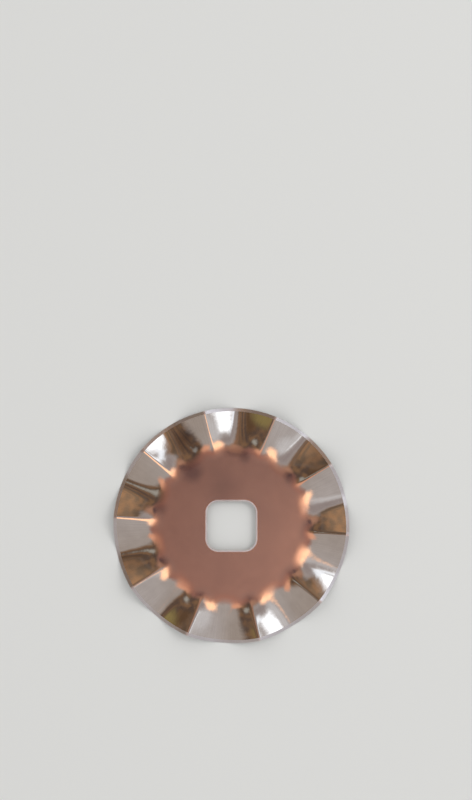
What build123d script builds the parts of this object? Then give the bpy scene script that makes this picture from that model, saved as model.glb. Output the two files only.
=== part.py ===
"""Wavy rotary cutter blade, 45 mm, stamped and ground from one disc of thin spring steel.

The blade lies in the XY plane with its axis on +Z. The origin is on the axis, half way through the
sheet, and the flats of the hole are square to X and Y. Units are millimetres and degrees.
"""

import os
from math import cos, degrees, pi, radians, sin, sqrt, tan

from build123d import *

# Sheet and cutting edge
BLADE_DIAMETER = 45.0
SHEET_THICKNESS = 0.3
BEVEL_WIDTH = 0.6

# Hole that seats on the hub of the knife
HOLE_ACROSS_FLATS = 9.3
HOLE_CORNER_RADIUS = 2.2
HOLE_EDGE_BREAK = 0.05

# Waves, measured round the rim on the middle of the sheet, with the bend radii at crest and trough
WAVE_COUNT = 10
WAVE_DEPTH = 2.2
CREST_RADIUS = 1.5
TROUGH_RADIUS = 5.6
FIRST_CREST_ANGLE = 31.7

# Flutes, measured along the radius: the flat hub, and the even bend at the root of the flutes
HUB_DIAMETER = 25.8
ROOT_BEND_LENGTH = 3.0

# Rings of faces that the straight part of the flutes is laid in
FLUTE_RINGS = 3

# Radii and angles that follow
RIM_RADIUS = BLADE_DIAMETER / 2
BEVEL_START = RIM_RADIUS - BEVEL_WIDTH
HUB_RADIUS = HUB_DIAMETER / 2
FLUTE_START = HUB_RADIUS + ROOT_BEND_LENGTH
HALF_SHEET = SHEET_THICKNESS / 2
PITCH_ANGLE = 360 / WAVE_COUNT

# Radius where the straight flutes, drawn on inwards, come to the level of the hub
FLUTE_TIP = HUB_RADIUS + ROOT_BEND_LENGTH / 2

# Slope of the straight flank that runs tangent from the bend of the crest to that of the trough
HALF_WAVE = pi * BLADE_DIAMETER / WAVE_COUNT / 2
BENDS = CREST_RADIUS + TROUGH_RADIUS
FLANK_SLOPE = (HALF_WAVE - sqrt(HALF_WAVE**2 - 2 * BENDS * WAVE_DEPTH)) / BENDS

# Azimuths from a crest, and heights of the rim, where the bends meet the flank
CREST_END = degrees(CREST_RADIUS * FLANK_SLOPE / RIM_RADIUS)
TROUGH_START = PITCH_ANGLE / 2 - degrees(TROUGH_RADIUS * FLANK_SLOPE / RIM_RADIUS)
CREST_END_LIFT = (WAVE_DEPTH - CREST_RADIUS * FLANK_SLOPE**2) / 2
TROUGH_START_LIFT = (TROUGH_RADIUS * FLANK_SLOPE**2 - WAVE_DEPTH) / 2


def on_flute(radius):
    """Returns a station on the straight part of the flutes."""
    return radius, (radius - FLUTE_TIP) / (RIM_RADIUS - FLUTE_TIP)


# Rings of faces from the hub outwards. Each is a list of control stations along the radius, and a
# station is a radius and the share that it has of the height of the wave at the rim.
ROOT_RING = [(HUB_RADIUS, 0), on_flute(FLUTE_TIP), on_flute(FLUTE_START)]
FLUTE_RING_WIDTH = (BEVEL_START - FLUTE_START) / FLUTE_RINGS
STRAIGHT_STATIONS = [on_flute(FLUTE_START + FLUTE_RING_WIDTH * ring) for ring in range(FLUTE_RINGS + 1)]
SKIN_RINGS = [ROOT_RING, *(list(pair) for pair in zip(STRAIGHT_STATIONS, STRAIGHT_STATIONS[1:]))]


def rim_stretch(start, end):
    """Returns four control points of the rim between two knots, each as its cosine, sine and lift."""
    first, last = radians(start[0]), radians(end[0])
    reach = 4 / 3 * tan((last - first) / 4)
    rise = reach * RIM_RADIUS
    return [
        (cos(first), sin(first), start[1]),
        (cos(first) - reach * sin(first), sin(first) + reach * cos(first), start[1] + rise * start[2]),
        (cos(last) + reach * sin(last), sin(last) - reach * cos(last), end[1] - rise * end[2]),
        (cos(last), sin(last), end[1]),
    ]


def net_row(station, height, stretch):
    """Returns a row of a surface's control points, at a station and a height above the wave."""
    radius, share = station
    return [(radius * x, radius * y, height + share * lift) for x, y, lift in stretch]


def skin_face(ring, height, stretch):
    """Returns a ring's face on one side of the sheet, over a stretch of rim."""
    return Face.make_bezier_surface([net_row(station, height, stretch) for station in ring])


def bevel_face(height, stretch):
    """Returns the ground bevel from one side of the sheet to the sharp edge."""
    start = net_row(STRAIGHT_STATIONS[-1], height, stretch)
    return Face.make_bezier_surface([start, net_row((RIM_RADIUS, 1), 0, stretch)])


def root_face(stretch):
    """Returns the wall across the sheet where a stretch of the flutes meets the hub."""
    heights = (-HALF_SHEET, HALF_SHEET)
    return Face.make_bezier_surface([net_row((HUB_RADIUS, 0), height, stretch) for height in heights])


def section_face(azimuth, lift):
    """Returns the radial section of the sheet at an azimuth where the rim has a lift."""
    with BuildSketch(Plane.XZ.rotated((0, 0, azimuth))) as section:
        with BuildLine():
            for height in (HALF_SHEET, -HALF_SHEET):
                Bezier(*((radius, height + share * lift) for radius, share in ROOT_RING))
                straight = [(radius, height + share * lift) for radius, share in STRAIGHT_STATIONS]
                Polyline(*straight, (RIM_RADIUS, lift))
            Line((HUB_RADIUS, -HALF_SHEET), (HUB_RADIUS, HALF_SHEET))
        make_face()
    return section.sketch.face()


# Knots of the rim over one wave, each an azimuth, a lift and a slope: between them lie the bend of a
# crest, the flank down, the bend of a trough and the flank up
knots = [
    (-CREST_END, CREST_END_LIFT, FLANK_SLOPE),
    (CREST_END, CREST_END_LIFT, -FLANK_SLOPE),
    (TROUGH_START, TROUGH_START_LIFT, -FLANK_SLOPE),
    (PITCH_ANGLE - TROUGH_START, TROUGH_START_LIFT, FLANK_SLOPE),
    (PITCH_ANGLE - CREST_END, CREST_END_LIFT, FLANK_SLOPE),
]
stretches = [rim_stretch(start, end) for start, end in zip(knots, knots[1:])]

# One wave as a solid, shut by its two radial sections and the wall at its root
wave_faces = [section_face(azimuth, CREST_END_LIFT) for azimuth in (-CREST_END, PITCH_ANGLE - CREST_END)]
for stretch in stretches:
    wave_faces.append(root_face(stretch))
    for height in (HALF_SHEET, -HALF_SHEET):
        wave_faces.append(bevel_face(height, stretch))
        wave_faces.extend(skin_face(ring, height, stretch) for ring in SKIN_RINGS)
wave = Solid(Shell(wave_faces))

# The blade: the flat hub with its hole, and the ring of waves round it
with BuildPart() as blade:
    with BuildSketch(Plane.XY.offset(-HALF_SHEET)):
        Circle(HUB_RADIUS)
        RectangleRounded(HOLE_ACROSS_FLATS, HOLE_ACROSS_FLATS, HOLE_CORNER_RADIUS, mode=Mode.SUBTRACT)
    extrude(amount=SHEET_THICKNESS)
    hub_circles = blade.edges().filter_by(GeomType.CIRCLE).sort_by(SortBy.RADIUS)[-2:]
    hole_rims = blade.faces().filter_by(Axis.Z).edges() - hub_circles
    chamfer(hole_rims, HOLE_EDGE_BREAK)
    with PolarLocations(0, WAVE_COUNT, start_angle=FIRST_CREST_ANGLE):
        add(wave)

blade.part.label = "blade"
os.makedirs("parts", exist_ok=True)
export_step(blade.part, "parts/blade.step")
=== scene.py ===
"""Looks of a wavy rotary cutter blade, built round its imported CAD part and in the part's own frame.

The blade's sheet follows one rule all round, so Geometry Nodes lay it out from the same named sizes as
the part: a flat hub with a rounded square hole, an even bend at the root of ten straight flutes, and a
ground edge. Three finishes dress it: the sheet, the ground edge and the punched wall of the hole. The
steel is seen by what it mirrors, so the world holds a plain room for its reflections.
"""

import logging
import math
from dataclasses import dataclass, field, fields
from enum import Enum

import bpy
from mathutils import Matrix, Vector


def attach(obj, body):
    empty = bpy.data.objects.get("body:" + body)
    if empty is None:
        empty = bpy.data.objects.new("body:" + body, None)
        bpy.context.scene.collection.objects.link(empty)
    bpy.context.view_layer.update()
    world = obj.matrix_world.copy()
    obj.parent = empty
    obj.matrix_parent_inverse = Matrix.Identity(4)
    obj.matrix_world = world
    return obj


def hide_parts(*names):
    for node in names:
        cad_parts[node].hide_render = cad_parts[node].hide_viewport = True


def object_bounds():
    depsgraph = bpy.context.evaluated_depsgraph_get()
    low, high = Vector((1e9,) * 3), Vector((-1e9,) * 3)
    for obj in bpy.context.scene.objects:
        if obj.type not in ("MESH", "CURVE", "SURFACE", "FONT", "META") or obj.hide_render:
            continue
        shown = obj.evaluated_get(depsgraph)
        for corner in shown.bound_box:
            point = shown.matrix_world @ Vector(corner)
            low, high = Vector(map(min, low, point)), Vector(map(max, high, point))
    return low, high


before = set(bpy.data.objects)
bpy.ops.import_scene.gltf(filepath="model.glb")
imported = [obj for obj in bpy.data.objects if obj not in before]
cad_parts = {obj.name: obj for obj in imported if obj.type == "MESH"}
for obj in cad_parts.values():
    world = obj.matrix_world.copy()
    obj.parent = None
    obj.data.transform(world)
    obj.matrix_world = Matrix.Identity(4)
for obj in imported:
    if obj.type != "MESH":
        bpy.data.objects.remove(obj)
CAD_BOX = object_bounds()

MILLIMETRE = 0.001
BLADE_NODE = "blade"
STATION = "station"
SPOT_DETAIL = 3.0
STREAK_DETAIL = 2.0

Colour = tuple[float, float, float]

log = logging.getLogger("blade")


class Field:
    """A number that varies over a surface. Arithmetic on it adds Math nodes to its node tree."""

    def __init__(self, tree: bpy.types.NodeTree, socket: bpy.types.NodeSocket) -> None:
        """Takes the tree and the socket that gives the number."""
        self.tree = tree
        self.socket = socket

    def apply(self, operation: str, *others: "Field | float") -> "Field":
        """Adds a Math node.

        Args:
            operation: the Math node's operation.
            others: its further inputs.

        Returns:
            The node's result.
        """
        node = self.tree.nodes.new("ShaderNodeMath")
        node.operation = operation
        for socket, value in zip(node.inputs, (self, *others)):
            if isinstance(value, Field):
                self.tree.links.new(value.socket, socket)
            else:
                socket.default_value = value
        return Field(self.tree, node.outputs[0])

    def __add__(self, other: "Field | float") -> "Field":
        """Adds two numbers."""
        return self.apply("ADD", other)

    def __sub__(self, other: "Field | float") -> "Field":
        """Takes the other number away."""
        return self.apply("SUBTRACT", other)

    def __mul__(self, other: "Field | float") -> "Field":
        """Multiplies two numbers."""
        return self.apply("MULTIPLY", other)

    def __truediv__(self, other: "Field | float") -> "Field":
        """Divides by the other number."""
        return self.apply("DIVIDE", other)

    def clamp(self) -> "Field":
        """Holds the number between 0 and 1."""
        return self.apply("MAXIMUM", 0.0).apply("MINIMUM", 1.0)

    def squared(self) -> "Field":
        """Multiplies the number by itself."""
        return self * self

    def length_with(self, other: "Field") -> "Field":
        """Gives the length of a line with this number and the other as its two sides."""
        return (self.squared() + other.squared()).apply("SQRT")


def scaled(tree: bpy.types.NodeTree, vector: bpy.types.NodeSocket, factor: float) -> bpy.types.NodeSocket:
    """Multiplies a vector by a number.

    Args:
        tree: the vector's node tree.
        vector: the vector.
        factor: the number.

    Returns:
        The longer or shorter vector.
    """
    node = tree.nodes.new("ShaderNodeVectorMath")
    node.operation = "SCALE"
    tree.links.new(vector, node.inputs["Vector"])
    node.inputs["Scale"].default_value = factor
    return node.outputs["Vector"]


class Run(Enum):
    """A run of rows or columns in the grid of the sheet. Its value is how many it has."""

    @property
    def first(self) -> int:
        """Counts the rows or columns before this run."""
        names = list(type(self).__members__)
        return sum(type(self)[name].value for name in names[: names.index(self.name)])

    @classmethod
    def total(cls) -> int:
        """Counts the rows or columns of all the runs."""
        return sum(run.value for run in cls)


class Ring(Run):
    """Rings of faces on each side of the sheet, from the hole outwards, with their rows."""

    HOLE_WALL = 1
    EDGE_BREAK = 2
    HUB = 10
    ROOT = 16
    FLUTE = 12
    BEVEL = 4


class Bend(Run):
    """Stretches of half a wave, from a crest to the next trough, with their columns."""

    CREST = 7
    FLANK = 9
    TROUGH = 10


class Finish(Enum):
    """The finishes of the blade, each with the name of its input in the blade's tree."""

    SHEET = "sheet_finish"
    GROUND = "ground_finish"
    PUNCHED = "punched_finish"


@dataclass(frozen=True)
class BladeSizes:
    """Sizes of the blade, in millimetres and degrees. Each is an input of the tree that shapes it."""

    blade_diameter: float = 45.0
    sheet_thickness: float = 0.3
    bevel_width: float = 0.6
    hole_across_flats: float = 9.3
    hole_corner_radius: float = 2.2
    hole_edge_break: float = 0.05
    wave_count: float = 10.0
    wave_depth: float = 2.2
    crest_radius: float = 1.5
    trough_radius: float = 5.6
    first_crest_angle: float = 31.7
    hub_diameter: float = 25.8
    root_bend_length: float = 3.0


@dataclass
class BladeTree:
    """The node tree that lays out both sides of the wavy sheet from its sizes."""

    sizes: BladeSizes
    merge_distance: float = 1e-7
    sharp_angle: float = 9.0
    tree: bpy.types.NodeTree = field(init=False)
    group: bpy.types.Node = field(init=False)
    inputs: dict[str, Field] = field(init=False, default_factory=dict)
    identifiers: dict[str, str] = field(init=False, default_factory=dict)

    def __post_init__(self) -> None:
        """Starts the tree with an input for each size and each finish."""
        self.tree = bpy.data.node_groups.new("wavy_blade_sheet", "GeometryNodeTree")
        self.tree.is_modifier = True
        self.tree.interface.new_socket("Geometry", in_out="OUTPUT", socket_type="NodeSocketGeometry")
        names = [size.name for size in fields(self.sizes)]
        for name in names:
            self.add_input(name, "NodeSocketFloat").default_value = getattr(self.sizes, name)
        for finish in Finish:
            self.add_input(finish.value, "NodeSocketMaterial")
        self.group = self.tree.nodes.new("NodeGroupInput")
        self.inputs = {name: Field(self.tree, self.group.outputs[self.title(name)]) for name in names}

    def add_input(self, name: str, kind: str) -> bpy.types.NodeTreeInterfaceSocket:
        """Gives the tree an input and keeps its identifier for the modifier.

        Args:
            name: the input's name with underscores for spaces.
            kind: the type of its socket.

        Returns:
            The input.
        """
        socket = self.tree.interface.new_socket(self.title(name), in_out="INPUT", socket_type=kind)
        self.identifiers[name] = socket.identifier
        return socket

    @staticmethod
    def title(name: str) -> str:
        """Gives an input's name in words."""
        return name.replace("_", " ").capitalize()

    def node(self, kind: str, **links: "bpy.types.NodeSocket | Field | float | bool") -> bpy.types.Node:
        """Adds a node and fills its inputs.

        Args:
            kind: the node's type.
            links: what goes into each input, by the input's name with underscores for spaces.

        Returns:
            The node.
        """
        node = self.tree.nodes.new(kind)
        for name, value in links.items():
            socket = node.inputs[name.replace("_", " ")]
            if isinstance(value, Field):
                value = value.socket
            if isinstance(value, bpy.types.NodeSocket):
                self.tree.links.new(value, socket)
            else:
                socket.default_value = value
        return node

    def share_of(self, position: Field, run: Run) -> Field:
        """Rises from 0 to 1 over a ring or a stretch, and stays level outside it.

        Args:
            position: the row or column that a point is on.
            run: the ring or stretch.

        Returns:
            The share of the ring or stretch that lies behind the point.
        """
        return ((position - run.first) / run.value).clamp()

    def hole_radius(self, azimuth: Field) -> Field:
        """Finds the wall of the rounded square hole.

        Args:
            azimuth: the direction from the axis, in radians.

        Returns:
            The distance from the axis to the wall in that direction.
        """
        fold = azimuth.apply("PINGPONG", math.pi / 4)
        cosine, sine = fold.apply("COSINE"), fold.apply("SINE")
        half = self.inputs["hole_across_flats"] / 2
        corner = self.inputs["hole_corner_radius"]
        centre = half - corner
        reach = (corner.squared() - (centre * (cosine - sine)).squared()).apply("MAXIMUM", 0.0)
        round_part = centre * (cosine + sine) + reach.apply("SQRT")
        flat_part = half / cosine
        in_corner = (half * sine).apply("GREATER_THAN", centre * cosine)
        return flat_part + in_corner * (round_part - flat_part)

    def rim(self, turn: Field) -> tuple[Field, Field]:
        """Follows the waves round the rim.

        Args:
            turn: the share of the full turn, from the first crest.

        Returns:
            The azimuth in radians, and the height of the middle of the sheet at the rim.
        """
        sizes = self.inputs
        rim_radius = sizes["blade_diameter"] / 2
        half_wave = rim_radius * math.pi / sizes["wave_count"]
        crest, trough = sizes["crest_radius"], sizes["trough_radius"]
        bends = crest + trough
        run_down = (half_wave.squared() - bends * sizes["wave_depth"] * 2).apply("SQRT")
        slope = (half_wave - run_down) / bends
        waves = turn * sizes["wave_count"]
        nearest = (waves + 0.5).apply("FLOOR")
        offset = waves - nearest
        column = offset.apply("ABSOLUTE") * (2 * Bend.total())
        on_crest, on_flank, on_trough = (self.share_of(column, bend) for bend in Bend)
        crest_arc, trough_arc = crest * slope, trough * slope
        flank_arc = half_wave - crest_arc - trough_arc
        arc = crest_arc * on_crest + flank_arc * on_flank + trough_arc * on_trough
        fall = crest_arc * slope * on_crest.squared() / 2 + flank_arc * slope * on_flank
        fall = fall + trough_arc * slope * (on_trough - on_trough.squared() / 2)
        wave_angle = nearest * (2 * math.pi) / sizes["wave_count"]
        crest_azimuth = sizes["first_crest_angle"].apply("RADIANS") + wave_angle
        azimuth = crest_azimuth + offset.apply("SIGN") * arc / rim_radius
        return azimuth, sizes["wave_depth"] / 2 - fall

    def section(self, station: Field, hole_radius: Field) -> tuple[Field, Field, Field]:
        """Follows the sheet's section from the wall of the hole to the sharp rim.

        Args:
            station: the row that a point is on.
            hole_radius: the distance from the axis to the hole's wall.

        Returns:
            The radius, the share of the rim's height, and the height above the middle of the sheet.
        """
        sizes = self.inputs
        wall, edge, hub, root, flute, bevel = (self.share_of(station, ring) for ring in Ring)
        rim_radius = sizes["blade_diameter"] / 2
        hub_radius = sizes["hub_diameter"] / 2
        bend_length, bevel_width = sizes["root_bend_length"], sizes["bevel_width"]
        past_bend = (rim_radius - bevel_width - hub_radius - bend_length) * flute + bevel_width * bevel
        edge_break = sizes["hole_edge_break"]
        radius = hole_radius + edge_break * edge + (hub_radius - hole_radius - edge_break) * hub
        radius = radius + bend_length * root + past_bend
        share = (bend_length / 2 * root.squared() + past_bend) / (rim_radius - hub_radius - bend_length / 2)
        half_sheet = sizes["sheet_thickness"] / 2
        height = (half_sheet - edge_break) * wall + edge_break * edge - half_sheet * bevel
        return radius, share, height

    def side(self, grid: bpy.types.NodeSocket, place: tuple[Field, Field, Field]) -> bpy.types.NodeSocket:
        """Lays the grid out as one side of the sheet.

        Args:
            grid: the flat grid of rows and columns.
            place: each point's place, in millimetres.

        Returns:
            The geometry of that side.
        """
        point = self.node("ShaderNodeCombineXYZ", X=place[0], Y=place[1], Z=place[2])
        in_metres = scaled(self.tree, point.outputs["Vector"], MILLIMETRE)
        return self.node("GeometryNodeSetPosition", Geometry=grid, Position=in_metres).outputs["Geometry"]

    def shade(self, geometry: bpy.types.NodeSocket) -> bpy.types.NodeSocket:
        """Shades the faces smooth and leaves the ground and punched edges sharp.

        Args:
            geometry: the closed sheet.

        Returns:
            The shaded sheet.
        """
        smooth = self.node("GeometryNodeSetShadeSmooth", Geometry=geometry, Shade_Smooth=True)
        angles = self.node("GeometryNodeInputMeshEdgeAngle")
        angle = Field(self.tree, angles.outputs["Unsigned Angle"])
        sharp = angle.apply("GREATER_THAN", math.radians(self.sharp_angle))
        edges = self.node("GeometryNodeSetShadeSmooth", Selection=sharp, Shade_Smooth=False)
        edges.domain = "EDGE"
        self.tree.links.new(smooth.outputs["Geometry"], edges.inputs["Geometry"])
        return edges.outputs["Geometry"]

    def paint(self, geometry: bpy.types.NodeSocket) -> bpy.types.NodeSocket:
        """Sets the finish of each ring.

        Args:
            geometry: the shaded sheet.

        Returns:
            The sheet with its three finishes.
        """
        stored = self.node("GeometryNodeInputNamedAttribute", Name=STATION)
        station = Field(self.tree, stored.outputs["Attribute"])
        areas = {
            Finish.SHEET: station.apply("GREATER_THAN", -1.0),
            Finish.GROUND: station.apply("GREATER_THAN", Ring.BEVEL.first),
            Finish.PUNCHED: station.apply("LESS_THAN", Ring.HUB.first),
        }
        for finish, area in areas.items():
            material = self.group.outputs[self.title(finish.value)]
            node = self.node("GeometryNodeSetMaterial", Geometry=geometry, Selection=area, Material=material)
            geometry = node.outputs["Geometry"]
        return geometry

    def build(self) -> bpy.types.NodeTree:
        """Joins the nodes from the grid to the finished blade.

        Returns:
            The node tree.
        """
        columns = self.inputs["wave_count"] * (2 * Bend.total())
        grid = self.node("GeometryNodeMeshGrid", Vertices_X=columns + 1, Vertices_Y=Ring.total() + 1)
        flat_place = self.node("GeometryNodeInputPosition").outputs["Position"]
        position = self.node("ShaderNodeSeparateXYZ", Vector=flat_place)
        turn = Field(self.tree, position.outputs["X"]) + 0.5
        station = (Field(self.tree, position.outputs["Y"]) + 0.5) * Ring.total()
        kept = self.node("GeometryNodeStoreNamedAttribute", Geometry=grid.outputs["Mesh"], Name=STATION)
        self.tree.links.new(station.socket, kept.inputs["Value"])
        azimuth, lift = self.rim(turn)
        radius, share, height = self.section(station, self.hole_radius(azimuth))
        across, along = radius * azimuth.apply("COSINE"), radius * azimuth.apply("SINE")
        middle = share * lift
        upper = self.side(kept.outputs["Geometry"], (across, along, middle + height))
        lower = self.side(kept.outputs["Geometry"], (across, along, middle - height))
        turned = self.node("GeometryNodeFlipFaces", Mesh=upper)
        joined = self.node("GeometryNodeJoinGeometry", Geometry=turned.outputs["Mesh"])
        self.tree.links.new(lower, joined.inputs["Geometry"])
        merged = self.node("GeometryNodeMergeByDistance", Distance=self.merge_distance)
        self.tree.links.new(joined.outputs["Geometry"], merged.inputs["Geometry"])
        real = self.node("GeometryNodeRealizeInstances", Geometry=self.shade(merged.outputs["Geometry"]))
        output = self.tree.nodes.new("NodeGroupOutput")
        self.tree.links.new(self.paint(real.outputs["Geometry"]), output.inputs["Geometry"])
        return self.tree


class Shading:
    """The nodes that the trees of the metals and of the world share."""

    tree: bpy.types.NodeTree

    def split(self, vector: bpy.types.NodeSocket) -> list[Field]:
        """Takes a vector apart.

        Args:
            vector: the vector.

        Returns:
            Its three numbers.
        """
        node = self.tree.nodes.new("ShaderNodeSeparateXYZ")
        self.tree.links.new(vector, node.inputs["Vector"])
        return [Field(self.tree, output) for output in node.outputs]

    def combine(self, *numbers: Field) -> bpy.types.NodeSocket:
        """Joins two or three numbers to a vector.

        Args:
            numbers: the numbers.

        Returns:
            The vector.
        """
        node = self.tree.nodes.new("ShaderNodeCombineXYZ")
        for number, socket in zip(numbers, node.inputs):
            self.tree.links.new(number.socket, socket)
        return node.outputs["Vector"]

    def cloud(self, place: bpy.types.NodeSocket, size: float, detail: float) -> Field:
        """Adds a cloudy pattern.

        Args:
            place: the coordinate that the pattern lies on.
            size: the width of its spots, in the coordinate's units.
            detail: how many finer layers it has.

        Returns:
            The pattern, from 0 to 1.
        """
        node = self.tree.nodes.new("ShaderNodeTexNoise")
        self.tree.links.new(place, node.inputs["Vector"])
        node.inputs["Scale"].default_value = 1 / size
        node.inputs["Detail"].default_value = detail
        return Field(self.tree, node.outputs[0])

    def step(self, value: Field, start: float, end: float) -> Field:
        """Runs softly from 0 to 1.

        Args:
            value: the number that it follows.
            start: where it leaves 0.
            end: where it reaches 1.

        Returns:
            The soft step.
        """
        node = self.tree.nodes.new("ShaderNodeMapRange")
        node.interpolation_type = "SMOOTHSTEP"
        self.tree.links.new(value.socket, node.inputs["Value"])
        node.inputs["From Min"].default_value = start
        node.inputs["From Max"].default_value = end
        return Field(self.tree, node.outputs["Result"])

    def mix(
        self, share: Field, low: "Colour | bpy.types.NodeSocket", high: "Colour | bpy.types.NodeSocket"
    ) -> bpy.types.NodeSocket:
        """Mixes two colours.

        Args:
            share: how much of the second shows.
            low: the first colour.
            high: the second colour.

        Returns:
            The mixed colour.
        """
        node = self.tree.nodes.new("ShaderNodeMix")
        node.data_type = "RGBA"
        self.tree.links.new(share.socket, node.inputs["Factor"])
        for socket, colour in zip((socket for socket in node.inputs if socket.type == "RGBA"), (low, high)):
            if isinstance(colour, bpy.types.NodeSocket):
                self.tree.links.new(colour, socket)
            else:
                socket.default_value = (*colour, 1.0)
        return next(output for output in node.outputs if output.type == "RGBA")


@dataclass(frozen=True)
class Grain:
    """A pattern in a surface.

    Its size and depth are in millimetres, but streaks have their width in degrees round the axis and
    their length in millimetres along the radius. The spread is how much roughness the pattern adds.
    """

    size: float
    depth: float
    roughness_spread: float = 0.0
    length: float = 0.0


@dataclass(frozen=True)
class MetalFinish:
    """How a stretch of metal looks: two tones, its least roughness, and its fine and broad patterns."""

    light: Colour
    dark: Colour
    least_roughness: float
    fine: Grain
    broad: Grain

    def roughness(self, fine: Field, broad: Field) -> Field:
        """Gives the roughness where the two patterns have the given values.

        Args:
            fine: the fine pattern, from 0 to 1.
            broad: the broad pattern, from 0 to 1.

        Returns:
            The roughness.
        """
        return fine * self.fine.roughness_spread + broad * self.broad.roughness_spread + self.least_roughness

    def relief(self, fine: Field, broad: Field) -> Field:
        """Gives the relief where the two patterns have the given values.

        Args:
            fine: the fine pattern, from 0 to 1.
            broad: the broad pattern, from 0 to 1.

        Returns:
            The height of the relief, in millimetres.
        """
        return fine * self.fine.depth + broad * self.broad.depth


@dataclass(frozen=True)
class PaintedShadeSpot:
    """A soft dark spot of painted shade that stands in for a dark reflection, with its centre and radius in
    millimetres.
    """

    x: float
    y: float
    radius: float
    strength: float


@dataclass
class MetalSurface(Shading):
    """A metal material's node tree, with the coordinates and patterns that the finishes share."""

    name: str
    material: bpy.types.Material = field(init=False)

    def __post_init__(self) -> None:
        """Starts the material with the polar coordinates of a point, in millimetres and radians."""
        self.material = bpy.data.materials.new(self.name)
        self.material.use_nodes = True
        self.tree = self.material.node_tree
        self.shader = self.tree.nodes["Principled BSDF"]
        self.shader.inputs["Metallic"].default_value = 1.0
        self.coordinates = self.tree.nodes.new("ShaderNodeTexCoord")
        self.place = scaled(self.tree, self.coordinates.outputs["Object"], 1 / MILLIMETRE)
        self.x, self.y, self.z = self.split(self.place)
        self.radius = self.x.length_with(self.y)
        self.azimuth = self.y.apply("ARCTAN2", self.x)

    def spots(self, size: float) -> Field:
        """Adds a cloudy pattern that fills space.

        Args:
            size: the width of its spots, in millimetres.

        Returns:
            The pattern, from 0 to 1.
        """
        return self.cloud(self.place, size, SPOT_DETAIL)

    def streaks(self, grain: Grain) -> Field:
        """Adds streaks that run along the radius.

        Args:
            grain: the width and length of the streaks.

        Returns:
            The pattern, from 0 to 1. It closes on itself behind the axis.
        """
        turns = 360 / grain.size / (2 * math.pi)
        ring_x, ring_y = self.azimuth.apply("COSINE") * turns, self.azimuth.apply("SINE") * turns
        ring = self.combine(ring_x, ring_y, self.radius / grain.length)
        return self.cloud(ring, 1.0, STREAK_DETAIL)

    def set_bump(self, height: Field) -> None:
        """Gives the surface its relief.

        Args:
            height: the relief, in millimetres.
        """
        node = self.tree.nodes.new("ShaderNodeBump")
        node.inputs["Strength"].default_value = 1.0
        node.inputs["Distance"].default_value = MILLIMETRE
        self.tree.links.new(height.socket, node.inputs["Height"])
        self.tree.links.new(node.outputs["Normal"], self.shader.inputs["Normal"])

    def set_colour(self, colour: bpy.types.NodeSocket) -> None:
        """Gives the surface its colour."""
        self.tree.links.new(colour, self.shader.inputs["Base Color"])

    def set_roughness(self, roughness: Field) -> None:
        """Gives the surface its roughness."""
        self.tree.links.new(roughness.clamp().socket, self.shader.inputs["Roughness"])


@dataclass(frozen=True)
class HubToneAndSheen:
    """What lightens the hub from its dark tone towards its light one.

    A painted reflection makes the hub lighter on one side than on the other: the slope across and along it
    is per millimetre.
    The rest are the weights of the hub's patterns, and what is left without them.
    """

    across: float = 0.02125
    along: float = -0.0125
    cloud: float = 0.45
    mottle: float = 0.35
    grain: float = 0.30
    base: float = 0.125


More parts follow.
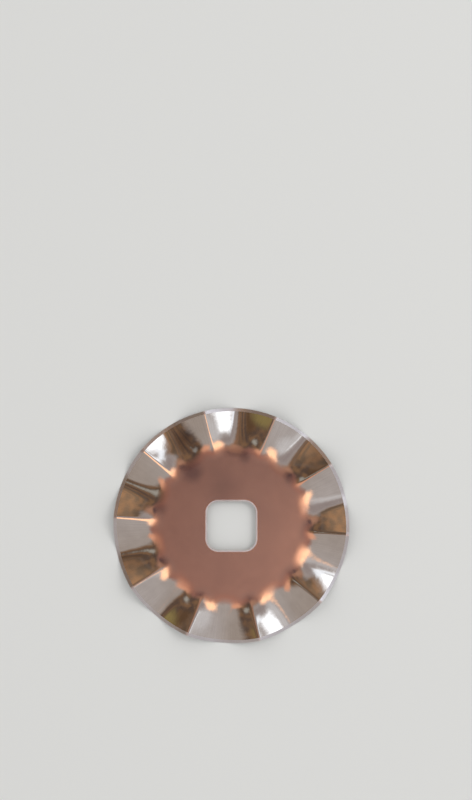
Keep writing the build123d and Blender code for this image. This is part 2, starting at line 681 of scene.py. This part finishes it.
@dataclass
class SheetSurface(MetalSurface):
    """The sheet: a satin hub that ends softly at the roots of the bright flutes. The hub's warm tint is
    partly its own tone and partly a painted reflection of a warm room overhead.
    """

    sizes: BladeSizes = BladeSizes()
    # The hub's warm tint: partly its own tone, partly a painted reflection of a warm room overhead.
    hub: MetalFinish = MetalFinish(
        light=(0.67, 0.58, 0.55),
        dark=(0.52, 0.435, 0.40),
        least_roughness=0.08,
        fine=Grain(size=0.16, depth=0.0012, roughness_spread=0.10),
        broad=Grain(size=7.0, depth=0.012, roughness_spread=0.05),
    )
    flutes: MetalFinish = MetalFinish(
        light=(0.745, 0.735, 0.72),
        dark=(0.51, 0.49, 0.47),
        least_roughness=0.02,
        fine=Grain(size=0.5, depth=0.0005, roughness_spread=0.06, length=6.0),
        broad=Grain(size=2.6, depth=0.022, roughness_spread=0.04),
    )
    hub_tone: HubToneAndSheen = HubToneAndSheen()
    flute_cloud_share: float = 0.6
    hub_end: float = 14.2
    flutes_start: float = 15.6
    border_wander: float = 0.9
    mottle_size: float = 1.4
    # Painted highlight: a pale band round the edge of the hole.
    edge_highlight_width: float = 0.40
    edge_highlight_wander: float = 0.1
    edge_highlight_roughness: float = 0.6
    edge_highlight_colour: Colour = (0.94, 0.95, 1.0)
    # Painted shade: dark spots on the front of the sheet that stand in for dark reflections.
    painted_shade_wander: float = 0.8
    front_edge: float = 0.1
    painted_shade_colour: Colour = (0.20, 0.18, 0.21)
    smudges: tuple[PaintedShadeSpot, ...] = (
        PaintedShadeSpot(-7.4, 10.2, 2.8, 0.62),
        PaintedShadeSpot(2.5, 12.9, 1.6, 0.40),
        PaintedShadeSpot(-1.5, 7.5, 5.5, 0.22),
        PaintedShadeSpot(11.2, 9.2, 1.9, 0.50),
        PaintedShadeSpot(-13.2, 3.2, 1.8, 0.45),
        PaintedShadeSpot(-9.0, 16.6, 3.8, 0.70),
        PaintedShadeSpot(-6.6, 14.6, 2.2, 0.45),
        PaintedShadeSpot(-13.0, -6.8, 1.5, 0.35),
    )

    def build(self) -> bpy.types.Material:
        """Joins the sheet's nodes.

        Returns:
            The material.
        """
        mottle = self.spots(self.mottle_size) - 0.5
        # Where the hub's warm tint, partly painted reflection, gives way to the steel of the flutes.
        on_flutes = self.step(self.radius + mottle * self.border_wander, self.hub_end, self.flutes_start)
        hub_cloud, hub_grain = self.spots(self.hub.broad.size), self.spots(self.hub.fine.size)
        flute_cloud, flute_grain = self.spots(self.flutes.broad.size), self.streaks(self.flutes.fine)
        # A painted highlight: a pale band along the edge of the hole, mixed into the hub's colour.
        edge_highlight_line = self.from_hole() + (hub_grain - 0.5) * self.edge_highlight_wander
        edge_highlight = self.step(edge_highlight_line, self.edge_highlight_width, self.edge_highlight_width / 2)
        hub_tone = self.tone_of_hub(hub_cloud, mottle, hub_grain)
        hub_colour = self.mix(edge_highlight, self.mix(hub_tone, self.hub.dark, self.hub.light), self.edge_highlight_colour)
        flute_tone = flute_cloud * self.flute_cloud_share + flute_grain * (1 - self.flute_cloud_share)
        flute_colour = self.mix(flute_tone.clamp(), self.flutes.dark, self.flutes.light)
        self.set_colour(self.marked(self.mix(on_flutes, hub_colour, flute_colour), hub_cloud))
        hub_rough = self.hub.roughness(hub_grain, hub_cloud) + edge_highlight * self.edge_highlight_roughness
        flute_rough = self.flutes.roughness(flute_grain, flute_cloud)
        self.set_roughness(hub_rough + on_flutes * (flute_rough - hub_rough))
        hub_relief = self.hub.relief(hub_grain, hub_cloud)
        self.set_bump(hub_relief + on_flutes * (self.flutes.relief(flute_grain, flute_cloud) - hub_relief))
        return self.material

    def tone_of_hub(self, cloud: Field, mottle: Field, grain: Field) -> Field:
        """Weighs what lightens the hub: its patterns, and a slope that is a painted reflection.

        Args:
            cloud: the hub's broad pattern, from 0 to 1.
            mottle: its middling pattern, from -0.5 to 0.5.
            grain: its fine pattern, from 0 to 1.

        Returns:
            0 for the hub's dark tone, to 1 for its light one.
        """
        weights = self.hub_tone
        # Painted reflection: the hub lighter on one side than on the other.
        slope = self.x * weights.across + self.y * weights.along
        patterns = cloud * weights.cloud + mottle * weights.mottle + grain * weights.grain
        return (slope + patterns + weights.base).clamp()

    def from_hole(self) -> Field:
        """Finds how far a point is from the edge of the hole.

        Returns:
            The distance in millimetres.
        """
        corner = self.sizes.hole_corner_radius
        straight = self.sizes.hole_across_flats / 2 - corner
        past = [(axis.apply("ABSOLUTE") - straight).apply("MAXIMUM", 0.0) for axis in (self.x, self.y)]
        return past[0].length_with(past[1]) - corner

    def marked(self, colour: bpy.types.NodeSocket, cloud: Field) -> bpy.types.NodeSocket:
        """Paints dark spots of painted shade, which stand in for dark reflections, on the front of the
        sheet.

        Args:
            colour: the sheet's colour without the painted shade.
            cloud: a broad pattern that the outlines of the painted shade spots follow, from 0 to 1.

        Returns:
            The colour with its painted shade.
        """
        up = self.split(self.coordinates.outputs["Normal"])[2]
        front = self.step(up, -self.front_edge, self.front_edge)
        # Each spot is painted shade, a dark reflection painted into the colour.
        for shade_spot in self.smudges:
            away = (self.x - shade_spot.x).length_with(self.y - shade_spot.y) / shade_spot.radius
            mark = self.step(away + (cloud - 0.5) * self.painted_shade_wander, 1.0, 0.0)
            colour = self.mix(mark * front * shade_spot.strength, colour, self.painted_shade_colour)
        return colour


@dataclass
class GroundSurface(MetalSurface):
    """The cutting edge, ground bright, with fine lines that run out to the edge."""

    finish: MetalFinish = MetalFinish(
        light=(0.76, 0.76, 0.79),
        dark=(0.56, 0.56, 0.60),
        least_roughness=0.27,
        fine=Grain(size=0.3, depth=0.0008, roughness_spread=0.12, length=0.9),
        broad=Grain(size=3.0, depth=0.004, roughness_spread=0.06),
    )
    line_share: float = 0.6

    def build(self) -> bpy.types.Material:
        """Joins the ground edge's nodes.

        Returns:
            The material.
        """
        lines, cloud = self.streaks(self.finish.fine), self.spots(self.finish.broad.size)
        tone = (lines * self.line_share + cloud * (1 - self.line_share)).clamp()
        self.set_colour(self.mix(tone, self.finish.dark, self.finish.light))
        self.set_roughness(self.finish.roughness(lines, cloud))
        self.set_bump(self.finish.relief(lines, cloud))
        return self.material


@dataclass
class PunchedSurface(MetalSurface):
    """The wall of the hole: bare sheared steel, smooth where the punch went in and torn below."""

    finish: MetalFinish = MetalFinish(
        light=(0.80, 0.74, 0.70),
        dark=(0.52, 0.44, 0.40),
        least_roughness=0.2,
        fine=Grain(size=0.06, depth=0.004, roughness_spread=0.2),
        broad=Grain(size=0.8, depth=0.006),
    )
    tear_top: float = 0.03
    tear_full: float = -0.05
    tear_wander: float = 0.12
    tear_spots: float = 0.5
    torn_roughness: float = 0.2
    torn_darkening: float = 0.3
    grain_share: float = 0.4
    cloud_share: float = 0.5
    base_tone: float = 0.2
    smooth_relief: float = 0.2

    def build(self) -> bpy.types.Material:
        """Joins the punched wall's nodes.

        Returns:
            The material.
        """
        tear_line = self.z + (self.spots(self.tear_spots) - 0.5) * self.tear_wander
        tear = self.step(tear_line, self.tear_top, self.tear_full)
        grain, cloud = self.spots(self.finish.fine.size), self.spots(self.finish.broad.size)
        tone = grain * self.grain_share + cloud * self.cloud_share - tear * self.torn_darkening
        self.set_colour(self.mix((tone + self.base_tone).clamp(), self.finish.dark, self.finish.light))
        self.set_roughness(self.finish.roughness(grain, cloud) + tear * self.torn_roughness)
        self.set_bump(self.finish.relief(grain * (tear + self.smooth_relief), cloud))
        return self.material


@dataclass
class WavyBlade:
    """The blade: one sheet, wavy at the rim, that stands for the CAD part's only node."""

    sizes: BladeSizes = BladeSizes()
    piece: bpy.types.Object = field(init=False)

    def build(self) -> None:
        """Shapes the sheet with its node tree and keeps the result as a plain mesh."""
        tree = BladeTree(self.sizes)
        carrier = bpy.data.objects.new("blade_carrier", bpy.data.meshes.new("blade_carrier"))
        bpy.context.scene.collection.objects.link(carrier)
        modifier = carrier.modifiers.new("wavy_sheet", "NODES")
        modifier.node_group = tree.build()
        for size in fields(self.sizes):
            modifier[tree.identifiers[size.name]] = getattr(self.sizes, size.name)
        for finish, material in self.materials().items():
            modifier[tree.identifiers[finish.value]] = material
        bpy.context.view_layer.update()
        evaluated = carrier.evaluated_get(bpy.context.evaluated_depsgraph_get())
        mesh = bpy.data.meshes.new_from_object(evaluated)
        mesh.name = "wavy_blade"
        bpy.data.objects.remove(carrier)
        self.piece = bpy.data.objects.new("wavy_blade", mesh)
        bpy.context.scene.collection.objects.link(self.piece)

    def materials(self) -> dict[Finish, bpy.types.Material]:
        """Makes the material of each finish.

        Returns:
            The materials by their finishes.
        """
        return {
            Finish.SHEET: SheetSurface("satin_hub_and_bright_flutes", self.sizes).build(),
            Finish.GROUND: GroundSurface("ground_edge").build(),
            Finish.PUNCHED: PunchedSurface("punched_wall").build(),
        }

    def dress(self) -> None:
        """Puts the blade on its body in place of the CAD node."""
        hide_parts(BLADE_NODE)
        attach(self.piece, "root")


class Outline(Enum):
    """Outlines of what hangs in the room."""

    SQUARE = "square"
    ROUND = "round"


SQUARE, ROUND = Outline

DARK_CLUTTER: Colour = (0.14, 0.095, 0.065)
BROWN_CLUTTER: Colour = (0.13, 0.085, 0.065)
WOODEN_CLUTTER: Colour = (0.36, 0.235, 0.15)


@dataclass(frozen=True)
class RoomPatch:
    """A soft-edged surface on the plan of the room.

    The plan shows the room as seen from the blade, looking up. Its places and sizes are in degrees east
    and north of straight up, and softness is the width of the patch's edge. A cluttered patch has a
    second colour, in spots.
    """

    name: str
    east: float
    north: float
    half_east: float
    half_north: float
    softness: float
    colour: Colour
    outline: Outline
    clutter: Colour | None = None


@dataclass
class Room(Shading):
    """The world: plain pale light for everything, and a room of grey and brown walls in the steel."""

    pale: Colour = (0.90, 0.90, 0.89)
    light: float = 0.72
    west: Colour = (0.48, 0.40, 0.35)
    east: Colour = (0.60, 0.54, 0.52)
    side_reach: float = 40.0
    clutter_size: float = 7.0
    clutter_detail: float = 0.5
    clutter_edge: tuple[float, float] = (0.33, 0.64)
    horizon_edge: tuple[float, float] = (66.0, 80.0)
    patches: tuple[RoomPatch, ...] = (
        RoomPatch("north_wall", -42.0, 53.0, 60.5, 37.0, 8.0, (0.29, 0.16, 0.09), SQUARE, DARK_CLUTTER),
        RoomPatch("west_wall", -48.0, 4.0, 55.0, 14.0, 7.0, (0.28, 0.155, 0.085), SQUARE, BROWN_CLUTTER),
        RoomPatch("wall_shade", -28.0, 13.0, 8.0, 5.0, 7.0, (0.155, 0.085, 0.045), ROUND),
        RoomPatch("olive_panel", -38.0, 6.0, 6.0, 8.0, 8.0, (0.33, 0.245, 0.095), ROUND),
        RoomPatch("wooden_panel", 2.0, 38.0, 23.0, 16.0, 18.0, (0.56, 0.31, 0.165), ROUND, WOODEN_CLUTTER),
        RoomPatch("pillar", 15.0, 5.0, 5.0, 9.0, 10.0, (0.42, 0.345, 0.33), SQUARE),
        RoomPatch("pale_corner", 27.0, -8.0, 11.0, 8.0, 9.0, (0.78, 0.74, 0.74), ROUND),
        RoomPatch("north_window", 31.0, 23.8, 8.6, 6.0, 7.0, (2.1, 2.15, 2.25), SQUARE),
        RoomPatch("east_window", 34.8, 5.6, 10.5, 5.8, 7.0, (2.1, 2.15, 2.25), SQUARE),
        RoomPatch("narrow_window", 23.0, 14.5, 2.6, 4.5, 5.0, (1.45, 1.5, 1.6), SQUARE),
        RoomPatch("copper_shade", 0.0, -3.5, 8.0, 9.5, 6.0, (0.45, 0.205, 0.155), ROUND),
        RoomPatch("copper_rim", 2.8, 7.0, 4.6, 5.6, 6.0, (0.56, 0.29, 0.19), ROUND),
        RoomPatch("dim_lamp", -8.0, -10.5, 3.4, 6.0, 4.0, (1.05, 0.50, 0.31), ROUND),
        RoomPatch("orange_lamp", 10.2, -8.2, 5.0, 7.8, 5.0, (2.15, 1.2, 0.74), ROUND),
        RoomPatch("grey_boss", -15.8, 0.6, 3.0, 3.3, 3.5, (0.50, 0.46, 0.40), ROUND),
        RoomPatch("shade_middle", 0.0, -3.4, 3.0, 3.0, 2.0, (0.37, 0.25, 0.22), ROUND),
        RoomPatch("dark_opening", 0.0, 2.0, 3.0, 2.4, 3.0, (0.08, 0.055, 0.07), ROUND),
    )

    def build(self) -> None:
        """Makes the world, with the room in what mirrors and plain light for the rest."""
        world = bpy.data.worlds.new("studio_room")
        bpy.context.scene.world = world
        world.use_nodes = True
        self.tree = world.node_tree
        rays = self.tree.nodes.new("ShaderNodeLightPath")
        room = self.surroundings(self.tree.nodes.new("ShaderNodeTexCoord").outputs["Generated"])
        plain = self.mix(Field(self.tree, rays.outputs["Is Camera Ray"]), (self.light,) * 3, self.pale)
        seen = self.mix(Field(self.tree, rays.outputs["Is Glossy Ray"]), plain, room)
        self.tree.links.new(seen, self.tree.nodes["Background"].inputs["Color"])

    def surroundings(self, ray: bpy.types.NodeSocket) -> bpy.types.NodeSocket:
        """Lays the patches of the room over its plain walls.

        Args:
            ray: the direction that is seen from the blade.

        Returns:
            The colour of the room in that direction.
        """
        x, y, z = self.split(ray)
        tilt = z.apply("ARCCOSINE").apply("DEGREES")
        stretch = tilt / x.length_with(y)
        east, north = x * stretch, y * stretch
        spots = self.cloud(self.combine(east, north), self.clutter_size, self.clutter_detail)
        clutter = self.step(spots, *self.clutter_edge)
        room = self.mix(self.step(east, -self.side_reach, self.side_reach), self.west, self.east)
        for patch in self.patches:
            colour = self.mix(clutter, patch.colour, patch.clutter) if patch.clutter else patch.colour
            room = self.mix(self.cover(patch, east, north), room, colour)
            room.node.label = patch.name
        return self.mix(self.step(tilt, *self.horizon_edge), room, self.pale)

    def cover(self, patch: RoomPatch, east: Field, north: Field) -> Field:
        """Finds how far a patch covers the room.

        Args:
            patch: the patch.
            east: the ray's place on the plan, in degrees east.
            north: the ray's place on the plan, in degrees north.

        Returns:
            1 on the patch and 0 off it, with a soft edge.
        """
        across, along = (east - patch.east).apply("ABSOLUTE"), (north - patch.north).apply("ABSOLUTE")
        if patch.outline is SQUARE:
            past = (across - patch.half_east).apply("MAXIMUM", along - patch.half_north)
        else:
            ratio = (across / patch.half_east).length_with(along / patch.half_north)
            past = (ratio - 1) * min(patch.half_east, patch.half_north)
        return self.step(past, patch.softness / 2, -patch.softness / 2)


@dataclass
class KeyLamp:
    """A square soft lamp that gives the blade its shadow. The steel mirrors the room, not the lamp."""

    bearing: float = 66.0
    off_zenith: float = 40.0
    distance: float = 0.6
    width: float = 0.3
    radiance: float = 2.2

    def build(self) -> None:
        """Hangs the lamp, aimed at the blade."""
        away = self.away()
        data = bpy.data.lights.new("key_lamp", "AREA")
        data.shape = "SQUARE"
        data.size = self.width
        data.energy = self.radiance * math.pi * self.width**2
        lamp = bpy.data.objects.new("key_lamp", data)
        lamp.location = away * self.distance
        lamp.rotation_euler = away.to_track_quat("Z", "Y").to_euler()
        lamp.visible_glossy = False
        bpy.context.scene.collection.objects.link(lamp)

    def away(self) -> Vector:
        """Points from the blade to the lamp.

        Returns:
            The direction, one unit long, at the bearing clockwise from +Y and the angle from straight up.
        """
        turn, tilt = math.radians(self.bearing), math.radians(self.off_zenith)
        return Vector((math.sin(turn) * math.sin(tilt), math.cos(turn) * math.sin(tilt), math.cos(tilt)))


@dataclass
class Floor:
    """A plain pale floor that the blade lies on."""

    half_width: float = 3.0
    colour: Colour = (0.82, 0.82, 0.80)
    roughness: float = 0.85

    def build(self) -> None:
        """Lays the floor under the blade's lowest point."""
        corners = ((-1, -1), (1, -1), (1, 1), (-1, 1))
        places = [(x * self.half_width, y * self.half_width, CAD_BOX[0].z) for x, y in corners]
        mesh = bpy.data.meshes.new("floor")
        mesh.from_pydata(places, [], [(0, 1, 2, 3)])
        material = bpy.data.materials.new("pale_floor")
        material.use_nodes = True
        shader = material.node_tree.nodes["Principled BSDF"]
        shader.inputs["Base Color"].default_value = (*self.colour, 1.0)
        shader.inputs["Roughness"].default_value = self.roughness
        mesh.materials.append(material)
        floor = bpy.data.objects.new("floor", mesh)
        bpy.context.scene.collection.objects.link(floor)


@dataclass
class TopCamera:
    """A long lens that looks straight down, with the blade below the middle of the frame."""

    distance: float = 0.4
    frame_height: float = 0.15287
    right_of_axis: float = 0.00088
    above_axis: float = 0.02404
    clip: tuple[float, float] = (0.01, 10.0)

    def build(self) -> None:
        """Sets up the scene's camera."""
        data = bpy.data.cameras.new("top_camera")
        data.lens = data.sensor_width * self.distance / self.frame_height
        data.clip_start, data.clip_end = self.clip
        camera = bpy.data.objects.new("top_camera", data)
        camera.location = (self.right_of_axis, self.above_axis, self.distance)
        bpy.context.scene.collection.objects.link(camera)
        bpy.context.scene.camera = camera


def main() -> None:
    """Builds the blade and its studio, and reports each piece."""
    logging.basicConfig(level=logging.INFO, format="%(name)s: %(message)s")
    bpy.context.scene.view_settings.view_transform = "Standard"
    TopCamera().build()
    Room().build()
    KeyLamp().build()
    Floor().build()
    blade = WavyBlade()
    blade.build()
    blade.dress()
    mesh = blade.piece.data
    log.info("wavy blade: %d faces, %d finishes", len(mesh.polygons), len(mesh.materials))


if __name__ == "__main__":
    main()
